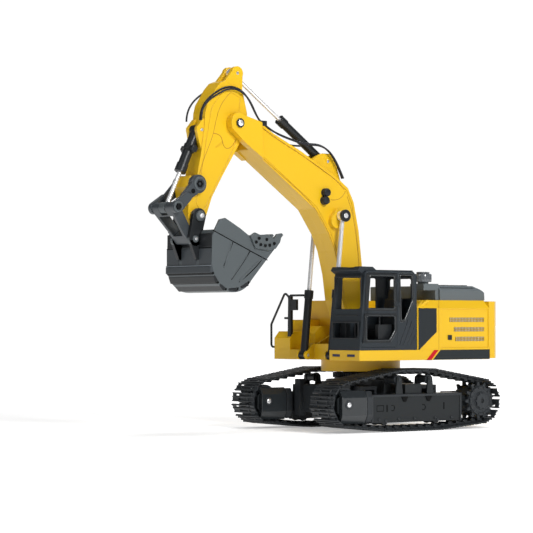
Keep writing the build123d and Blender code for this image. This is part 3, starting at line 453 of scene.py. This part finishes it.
def boom_lines(y):
    """Dark amber lines along the moulded grooves on one side face of the boom, painted as the shade in them.
    """
    side_line([(181.3, 305.3), (166, 296.6), (155, 289), (124, 268.5), (90.3, 246), (76.0, 228.5),
               (63.9, 210.5), (55.2, 191), (50.6, 174), (46.2, 150)], y, 0.35, "boom_lower_line", BOOM_LINE)
    side_line([(158, 323), (144.1, 314.5), (119.6, 303.4), (94.8, 291.5), (67.3, 277.4), (52, 268.6),
               (43.5, 260.5)], y, 0.35, "boom_upper_line", BOOM_LINE)
    side_line([(39.5, 253.3), (33.0, 240), (28.6, 222), (24.8, 199.9), (22.6, 178.4), (19.5, 140)], y, 0.3,
              "boom_rear_line", BOOM_LINE)
    side_line([(62.8, 248.9), (53.5, 247.4), (45.4, 251.3), (41.9, 258.6)], y, 0.3, "lamp_line", BOOM_LINE)
    side_line([(165, 311.3), (161.7, 314.6), (157.3, 315.5)], y, 0.3, "c_line", BOOM_LINE)


def stick_lines(y):
    """Dark amber lines along the moulded grooves on one side face of the stick, painted as the shade in
    them.
    """
    side_line([(218.2, 312.8), (212.8, 312.9), (207.5, 310.6), (206.4, 306), (204.3, 299.2), (198.9, 296.9),
               (192.4, 300.7), (189.2, 306.9)], y, 0.4, "s_line", STICK_LINE)
    side_line([(237.5, 262), (236.1, 268.7), (231.9, 282.5), (221.3, 303.5), (217.1, 314), (213.2, 333.1),
               (206.4, 347.2), (195.7, 356.5)], y, 0.3, "stick_line", STICK_LINE)


def boom_pin_trim(s):
    """Ends of the stick pin and the lift cylinder pin on one side."""
    pin_end(STICK_PIN, 20.6, s, 3.2, "boom", rim=4.9)
    turned([(0, 6.6), (2.6, 6.6), (3.0, 6.2), (3.0, 3.2), (0.6, 3.0)], LIFT_PIN, 27.0, s, "lift_bush",
           BOOM_BLACK)
    turned([(0, 2.9), (2.9, 2.9), (3.4, 2.2)], LIFT_PIN, 27.0, s, "lift_pin_end",
           Home("boom", "steel_pin", "chrome_rod"))


def lamps(s):
    """Stepped body and rounded front of each lamp on one side."""
    profile = [(0, 4.6), (1.0, 4.7), (1.2, 4.2), (2.4, 4.2), (2.6, 4.6), (4.6, 4.6), (5.4, 4.2), (6.4, 3.4),
               (6.6, 2.2)]
    for spot in ((71.4, 256.2), (72.8, 247.6)):
        turned(profile, spot, BOOM_SIDE - 0.1, s, "lamp", BOOM_BLACK, sides=20)


for s in SIDES:
    boom_lines(BOOM_SIDE * s)
    stick_lines(STICK_SIDE * s)
    boom_pin_trim(s)
    lamps(s)
for s in SIDES:
    box((150, 158), layer(10.5, 15.0, s), (323.4, 329.4), "hose_clip", BOOM_BLACK, soften=0.8)
turned([(0, 3.6), (1.2, 3.6), (1.4, 2.0), (2.2, 2.0)], STICK_PIN, 21.5, -1, "far_nut",
       Home("boom", "steel_pin"), sides=6)

# ------------------------------------------------------------- bucket
BUCKET = Home("bucket", "bucket_grey")
BUCKET_DARK = Home("bucket", "bucket_grey", "dark_seam")
BUCKET_BLACK = Home("bucket", "bucket_grey", "black_plastic")
BUCKET_MIDDLE = Vector((205, 185))
# Wear bars above this height are grey; lower ones are painted black as shade.
GREY_ABOVE = 170


def bucket_side(s):
    """Weld lines on one side plate, and the caps of the two pins."""
    face = BUCKET_SIDE * s
    side_line([(239.6, 210.5), (215.3, 200.4), (191.7, 190.1), (169.1, 181.1)], face, 0.55, "side_seam",
              BUCKET_DARK)
    side_line([(213.9, 199.1), (225.7, 174.1)], face, 0.5, "side_rib", BUCKET_DARK)
    side_line([(191.7, 190.1), (204.2, 173.3), (216.0, 160.4)], face, 0.6, "side_rib", BUCKET_DARK)
    side_line([(175.5, 182.6), (187.5, 169.1), (206.3, 157.8)], face, 0.5, "side_rib", BUCKET_DARK)
    turned([(0, 5.4), (2.0, 5.4), (3.4, 4.0), (3.8, 2.4)], BUCKET_PIN, 17.6, s, "ear_cap", BUCKET)
    pin_end(BUCKET_PIN, 21.0, s, 2.4, "bucket")
    turned([(0, 3.6), (1.4, 3.6), (1.8, 3.0)], LINK_PIN, 17.2, s, "link_cap", BUCKET)
    pin_end(LINK_PIN, 18.4, s, 1.6, "bucket")


def wear_bar(start, end):
    """Bar across the bucket's curved shell from start to end in the side view, with a dark strip after it
    painted as the shade under the bar's edge. Bars above GREY_ABOVE are grey and lower ones black, painted
    as the shade on the bucket's underside.
    """
    start = Vector(start)
    end = Vector(end)
    run = (end - start).normalized()
    out = Vector((-run.y, run.x))
    if out.dot(start - BUCKET_MIDDLE) < 0:
        out = -out
    # Lower bars painted black as shade, upper ones grey.
    shade = "link_grey" if start.y > GREY_ABOVE else "black_plastic"
    prism([start - out, start + out * 1.6, end + out * 3.4, end - out], (-39.6, 39.6), "wear_bar",
          Home("bucket", "bucket_grey", shade), soften=0.35)
    # Dark strip after the bar, painted as the shade under its edge.
    shade_reach = run * 2.4
    prism([end - out, end + out * 2.4, end + out * 1.2 + shade_reach, end - out + shade_reach], (-39.55, 39.55),
          "bar_shade_strip", BUCKET_DARK)


def bucket_ears(s):
    """Cover over one ear, its foot, and the plate and step on the back beside it; the plate is black,
    painted as the shade on the bucket's upper back.
    """
    depth = layer(13.2, 17.5, s)
    prism(capsule_outline(BUCKET_PIN, LINK_PIN, 8.02, 7.22), depth, "ear_cover", BUCKET_BLACK)
    prism([(252.4, 200.4), (244.5, 181.4), (240.9, 180.4), (240.9, 203)], depth, "ear_foot", BUCKET_BLACK)
    box((BUCKET_BACK - 0.9, BUCKET_BACK), layer(17.6, 39.0, s), (193.5, 207.6), "back_shade_plate", BUCKET_BLACK,
        soften=0.3)
    tube([(BUCKET_BACK + 0.1, y * s, 192.6) for y in (17, 24, 32, 39.2)], 0.6, "back_step", BUCKET_DARK,
         turns=2)


def cutter_bolts(s):
    """Bolt heads on one side cutter."""
    for spot in ((162, 198.5), (168, 196.5), (174, 196), (180, 197), (186, 199.5), (172, 202.5),
                 (182, 203.5)):
        turned([(0, 1.7), (0.7, 1.7), (0.9, 1.3)], spot, 42.2, s, "cutter_bolt", BUCKET_DARK, sides=8)


for s in SIDES:
    bucket_side(s)
for start, end in (((241.2, 174.2), (239.6, 167.8)), ((238.0, 164.4), (233.8, 158.4)),
                   ((231.0, 155.6), (224.0, 151.2)), ((220.0, 150.4), (209.0, 151.2)),
                   ((204.4, 152.4), (195.0, 157.2))):
    wear_bar(start, end)
for y in ((-39.2, -17.4), (-13.0, 13.0), (17.4, 39.2)):
    box((BUCKET_BACK + 0.1, BUCKET_BACK + 0.55), y, (175.2, 192.4), "back_skin",
        Home("bucket", "bucket_grey", "link_grey"), soften=0.2)
# Light grey line painted as the highlight on the top edge of the first wear bar.
tube([(242.4, y, 174.6) for y in (-39.4, -20, 0, 20, 39.4)], 0.5, "bar_top_highlight",
     Home("bucket", "bucket_grey", "grey_rim"), turns=2)
for s in SIDES:
    bucket_ears(s)
# Black plate between the ears, painted as the shade on the bucket's upper back.
box((BUCKET_BACK - 0.9, BUCKET_BACK), (-13.0, 13.0), (193.5, 208.6), "back_shade_plate", BUCKET_BLACK, soften=0.3)
for s in SIDES:
    cutter_bolts(s)

# ------------------------------------------------------------- rocker
ROCKER = Home("rocker", "bucket_grey")
ROCKER_SEAM = Home("rocker", "bucket_grey", "dark_seam")


def rocker_trim(s):
    """Dark hole between the eyes of one rocker arm, and the rings and nuts at both eyes."""
    turned([(0, 2.5), (0.5, 2.5)], (249.4, 251.3), 18.3, s, "rocker_hole", ROCKER_SEAM, sides=20)
    turned([(0, 7.4), (1.2, 7.4), (1.8, 6.9), (1.8, 5.2), (0.4, 5.0), (0.4, 0.1)], ROCKER_PIN, 17.6, s,
           "rocker_ring", ROCKER)
    turned([(0, 3.8), (1.6, 3.8), (1.6, 2.0), (0.2, 2.0)], ROCKER_PIN, 17.9, s, "rocker_bush", ROCKER_SEAM,
           sides=6)
    turned([(0, 5.8), (1.0, 5.8), (1.5, 5.2), (1.5, 3.9), (0.4, 3.8), (0.4, 0.1)], ROCKER_END, 22.0, s,
           "rocker_ring", ROCKER)
    turned([(0, 3.0), (1.4, 3.0), (1.4, 0.1)], ROCKER_END, 22.4, s, "rocker_nut", ROCKER_SEAM, sides=6)


for s in SIDES:
    rocker_trim(s)

# ------------------------------------------------------------- cab trim
CAB_BLACK = Home("house", "cab_grey", "black_plastic")
DOOR_BLACK = Home("cab_door", "cab_grey", "black_plastic")


def window_seals():
    """Flat seals round the two door windows and the quarter window."""
    ring_plate([(67.9, 168.2), (24.9, 168.2), (24.9, 128.4), (69.3, 128.4)],
               [(62.4, 165.6), (27.8, 165.6), (27.8, 131.0), (65.2, 131.0)],
               (DOOR_FACE, DOOR_FACE + 0.9), "door_seal", DOOR_BLACK)
    ring_plate([(69.6, 125.6), (24.9, 125.6), (24.9, 106.6), (33.8, 94.8), (69.6, 94.8)],
               [(66.8, 123.0), (27.4, 123.0), (27.4, 108.2), (35.2, 97.4), (66.8, 97.4)],
               (DOOR_FACE, DOOR_FACE + 0.8), "door_seal", DOOR_BLACK)
    ring_plate([(21.8, 168.4), (1.0, 168.4), (0.2, 139.6), (12.9, 116.4), (19.4, 116.4), (21.8, 140)],
               [(20.2, 166.6), (2.8, 166.6), (2.0, 140.1), (13.8, 118.6), (18.2, 118.6), (20.0, 140)],
               (DOOR_FACE, DOOR_FACE + 0.9), "quarter_seal", CAB_BLACK)


def window_trim(points, y, radius, home, grow=0.0):
    """Line with rounded corners round a window, pushed outwards by grow."""
    reach = 3.2
    centre = Vector((sum(p[0] for p in points), sum(p[1] for p in points))) / len(points)
    corners = []
    for p in points:
        away = Vector(p) - centre
        corners.append(Vector(p) + Vector((math.copysign(grow, away.x), math.copysign(grow, away.y))))
    path = []
    for i, p in enumerate(corners):
        back = (corners[i - 1] - p).normalized()
        ahead = (corners[(i + 1) % len(corners)] - p).normalized()
        path += [p + back * reach, p + back * reach * 0.35, p + ahead * reach * 0.35, p + ahead * reach]
    tube([(p.x, y, p.y) for p in path], radius, "window_trim", home, turns=3, closed=True)


def window_trims():
    """Glossy rim round each side window, and a thin grey line outside it painted as the highlight on the
    rim's outer edge.
    """
    windows = (("cab_door", [(65.6, 130.6), (62.2, 166), (27.4, 166), (27.4, 130.6)]),
               ("cab_door", [(67.2, 97), (67.2, 123.4), (27, 123.4), (27, 108), (35, 97)]),
               ("house", [(20.4, 167), (2.4, 167), (1.8, 140), (13.6, 118), (18.4, 118)]))
    for body, points in windows:
        window_trim(points, DOOR_FACE + 0.3, 0.95, Home(body, "cab_grey", "gloss_black"))
        # Thin grey line painted as the highlight on the rim's outer edge.
        window_trim(points, DOOR_FACE + 0.4, 0.32, Home(body, "cab_grey", "bucket_grey"), grow=1.9)


def screen_seals():
    """Four-sided seals round the upper and the lower front screen, and a line under the upper one."""
    for x, bars in (((70.3, 72.4), (((32.0, 76.4), (164.2, 165.4)), ((32.0, 76.4), (128.8, 130.2)),
                                    ((32.0, 33.4), (130, 164.4)), ((75.2, 76.6), (130, 164.4)))),
                    ((74.4, 76.2), (((33.0, 76.0), (98.6, 99.9)), ((33.0, 76.0), (115.7, 117.0)),
                                    ((33.0, 34.2), (99.8, 115.8)), ((75.0, 76.2), (99.8, 115.8))))):
        for y, z in bars:
            box(x, y, z, "screen_seal", CAB_BLACK, soften=0.2)
    box((73.4, 74.2), (34, 73), (122.8, 124.2), "dash_line", CAB_BLACK)


window_seals()
window_trims()
tube([(71.8, 79.2, 95), (72.6, 81.6, 97), (71.6, 81.8, 110), (70.4, 81.8, 122), (70.0, 79.2, 125)], 0.8,
     "grab_rail", CAB_BLACK)
screen_seals()

# ------------------------------------------------------------- undercarriage trim
TRACK_BLACK = Home("undercarriage", "track_black")
TRACK_SEAM = Home("undercarriage", "track_black", "dark_seam")


def idler_yoke(centre, s):
    """Cover and neck of the idler yoke on one face of a track frame, with the axle's end."""
    base = centre + s * TRACK_FRAME_SIDE
    step = base + s * 1.2
    outer = centre + s * YOKE_SIDE
    inner = outer - s * 0.8
    prism([(base, 9.5), (step, 9.5), (outer, 18.5), (outer, 37.8), (step, 44.8), (base, 44.8)],
          (70.5, 105.0), "yoke_cover", Home("undercarriage", "track_black", "gloss_black"), axis="x",
          soften=0.6)
    prism([(base, 10.5), (step, 10.5), (inner, 19.0), (inner, 37.4), (step, 43.8), (base, 43.8)],
          (62.0, 69.5), "yoke_neck", TRACK_BLACK, axis="x", soften=0.6)
    turned([(0, 4.6), (0.5, 4.6), (0.5, 3.0)], IDLER_AXLE, YOKE_SIDE, s, "idler_rim", TRACK_BLACK,
           centre=centre)
    turned([(0, 2.7), (1.0, 2.7), (1.6, 1.8)], IDLER_AXLE, YOKE_SIDE, s, "idler_end",
           Home("undercarriage", "steel_pin", "chrome_rod"), centre=centre)


def frame_face(centre, s):
    """Rim, marks, notches, slots and bolts on one face of a track frame."""
    plate = centre + s * TRACK_FRAME_SIDE
    rim = layer(TRACK_FRAME_SIDE, TRACK_FRAME_SIDE + 0.9, s, centre)
    for x, z in (((-68.6, 60.6), (36.9, 39.4)), ((-68.6, -66.4), (10, 37)), ((58.4, 60.6), (10, 37))):
        box(x, rim, z, "frame_rim", TRACK_BLACK, soften=0.2)
    mark = (plate - 0.1, plate + 0.12)
    for x, z in (((43, 53), (21.6, 22.3)), ((43, 53), (27.5, 28.2)), ((43, 43.7), (22, 28)),
                 ((52.3, 53), (22, 28))):
        box(x, mark, z, "frame_mark", TRACK_SEAM, soften=0)
    for x in (13.7, -20.6):
        prism([(x - 4.8, 36.8), (x + 4.8, 36.8), (x + 1.6, 31.3), (x - 1.6, 31.3)],
              layer(TRACK_FRAME_SIDE + 0.1, TRACK_FRAME_SIDE + 1.0, s, centre), "frame_notch", TRACK_SEAM)
    for x, z in ((38.4, 21), (-43.3, 22)):
        box((x - 0.9, x + 0.9), mark, (z, z + 7.5), "frame_slot", TRACK_SEAM, soften=0)
    for x in (30.7, -13.4):
        side_line(arc(x, 25, 3.0, 60, 300), plate, 0.45, "c_mark", TRACK_SEAM)
    for x in (-54, -30, 0, 22, 50):
        turned([(0, 1.5), (0.9, 1.5), (1.1, 1.2)], (x, 13.0), TRACK_FRAME_SIDE, s, "frame_bolt", TRACK_BLACK,
               sides=6, centre=centre)


for centre in TRACK_CENTRES.values():
    for s in SIDES:
        idler_yoke(centre, s)
        frame_face(centre, s)

# ------------------------------------------------------------- sprocket covers
BOLT_COUNT = 12
BOLT_CIRCLE = 14.5


def sprocket_cover(side_name, s):
    """Stepped cover on one face of a sprocket, with a ring of bolts on the outer face only."""
    centre = TRACK_CENTRES[side_name]
    home = Home("sprocket_" + side_name, "track_black")
    steps = [(0, 16.2), (1.4, 16.2), (2.0, 15.6), (2.0, 13.4), (1.2, 13.0), (1.2, 10.0), (2.2, 9.6),
             (2.2, 2.8)]
    turned(steps, SPROCKET_AXLE, SPROCKET_SIDE, s, "drive_cover", home, sides=40, centre=centre)
    if s * centre < 0:
        return
    for i in range(BOLT_COUNT):
        a = 2 * math.pi * (i + 0.5) / BOLT_COUNT
        spot = (SPROCKET_AXLE[0] + BOLT_CIRCLE * math.cos(a), SPROCKET_AXLE[1] + BOLT_CIRCLE * math.sin(a))
        turned([(0, 0.9), (1.2, 0.9), (1.5, 0.6)], spot, SPROCKET_SIDE + 1.6, s, "drive_bolt", home, sides=8,
               centre=centre)


for side_name in TRACK_CENTRES:
    for s in SIDES:
        sprocket_cover(side_name, s)

# ------------------------------------------------------------- louvres and panel split
LOUVRE_ROWS = (119.0, 108.5, 98.0)
LOUVRE_START = -104.6
RIB_PITCH = 2.2


def louvre_ribs(s, counts, face):
    """Two rows of small ribs in each louvre on side s, as one mesh."""
    depth = layer(face, face + 0.15, s)
    ribs = []
    for row, count in zip(LOUVRE_ROWS, counts):
        for index in range(count - 1):
            x = LOUVRE_START + RIB_PITCH * index
            width = (x + 1.25, x + 2.15)
            ribs.append((width, depth, (row - 2.3, row - 0.4)))
            ribs.append((width, depth, (row + 0.4, row + 2.3)))
    many_boxes(ribs, "louvre_ribs", Home("house", "yellow_paint", "louvre_metal"))


for s in SIDES:
    box((-107, -49.5), layer(76.2, 76.8, s), (95, 122), "louvre_back", Home("house", "black_plastic"),
        soften=0)
louvre_ribs(1, (24, 21, 20), HOUSE_SIDE - 1.1)
louvre_ribs(-1, (22, 22, 22), HOUSE_SIDE)
# Dark amber line painted as the shade in the split between two panels.
side_line([(-36.2, 86.8), (-36.2, 110), (-36.2, 139)], HOUSE_SIDE, 0.25, "panel_split",
          Home("house", "yellow_paint", "amber_line"))

# ------------------------------------------------------------- cover behind the boom foot
HOUSE_YELLOW = Home("house", "yellow_paint")
box((-47.5, -16), (-30.6, 30.6), (128.6, 130.4), "centre_cover", HOUSE_YELLOW, soften=0.5)
for x in (-26, -36):
    box((x - 2, x + 2), (-22, 22), (130.3, 131.0), "centre_rib", HOUSE_YELLOW, soften=0.3)

# ------------------------------------------------------------- intake bowl on the air cleaner
INTAKE = Home("house", "cab_grey", "smoke")
UP = (0, 0, 1)
lathe([(0, 9.4), (1.0, 9.6), (7.6, 9.6), (8.6, 9.0)], (-32, 58, 160.4), UP, "intake_bowl", INTAKE, sides=28)
lathe([(0, 7.2), (1.4, 7.2), (1.8, 6.6)], (-32, 58, 169.4), UP, "intake_cap", INTAKE, sides=28)

# ------------------------------------------------------------- bucket cylinder clamp and rod eye
for s in SIDES:
    turned([(0, 4.2), (5.0, 4.2), (5.6, 3.6)], (241.4, 296.0), 5.0, s, "clamp_lug",
           Home("bucket_barrel", "black_plastic"), sides=6)
lathe([(0, 5.9), (9.4, 5.9)], (ROCKER_END[0], -4.7, ROCKER_END[1]), (0, 1, 0), "rod_eye_sleeve",
      Home("bucket_rod", "chrome_rod", "bucket_grey"))


# ------------------------------------------------------------- copy of the stick hoses
def bending_hoses():
    """The frame's stick hoses copied as one piece fixed in place, with the frame's own piece hidden."""
    source = NODES["stick_hoses"]
    lines = bpy.data.objects.new("stick_lines", source.data.copy())
    bpy.context.scene.collection.objects.link(lines)
    lines.matrix_world = source.matrix_world
    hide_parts("stick_hoses")
    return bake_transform(lines)


bending_hoses()

# ------------------------------------------------------------- floor, in metres
FLOOR_REACH = 30
# The glow goes from its first value to its second between these distances from the middle.
FLOOR_FADE = (0.5, 2.0)
FLOOR_GLOW = (0.36, 0.95)


def floor_material():
    """Pale surface that glows a little more far away, so that it meets the white wall."""
    mat = material("floor", (0.95, 0.95, 0.95), 0.8, glow=FLOOR_GLOW[0])
    tree = mat.node_tree
    place = tree.nodes.new("ShaderNodeTexCoord")
    away = tree.nodes.new("ShaderNodeVectorMath")
    away.operation = "LENGTH"
    tree.links.new(place.outputs["Object"], away.inputs[0])
    glow = tree.nodes["Principled BSDF"].inputs["Emission Strength"]
    map_range(tree, away.outputs["Value"], glow, FLOOR_FADE, FLOOR_GLOW)
    return mat


def put_floor():
    """Large flat floor under the tracks."""
    corners = [(x * FLOOR_REACH, y * FLOOR_REACH, 0) for x, y in ((-1, -1), (1, -1), (1, 1), (-1, 1))]
    mesh = plain_mesh("floor", corners, [(0, 1, 2, 3)])
    mesh.materials.append(floor_material())
    ground = bpy.data.objects.new("floor", mesh)
    bpy.context.scene.collection.objects.link(ground)


put_floor()
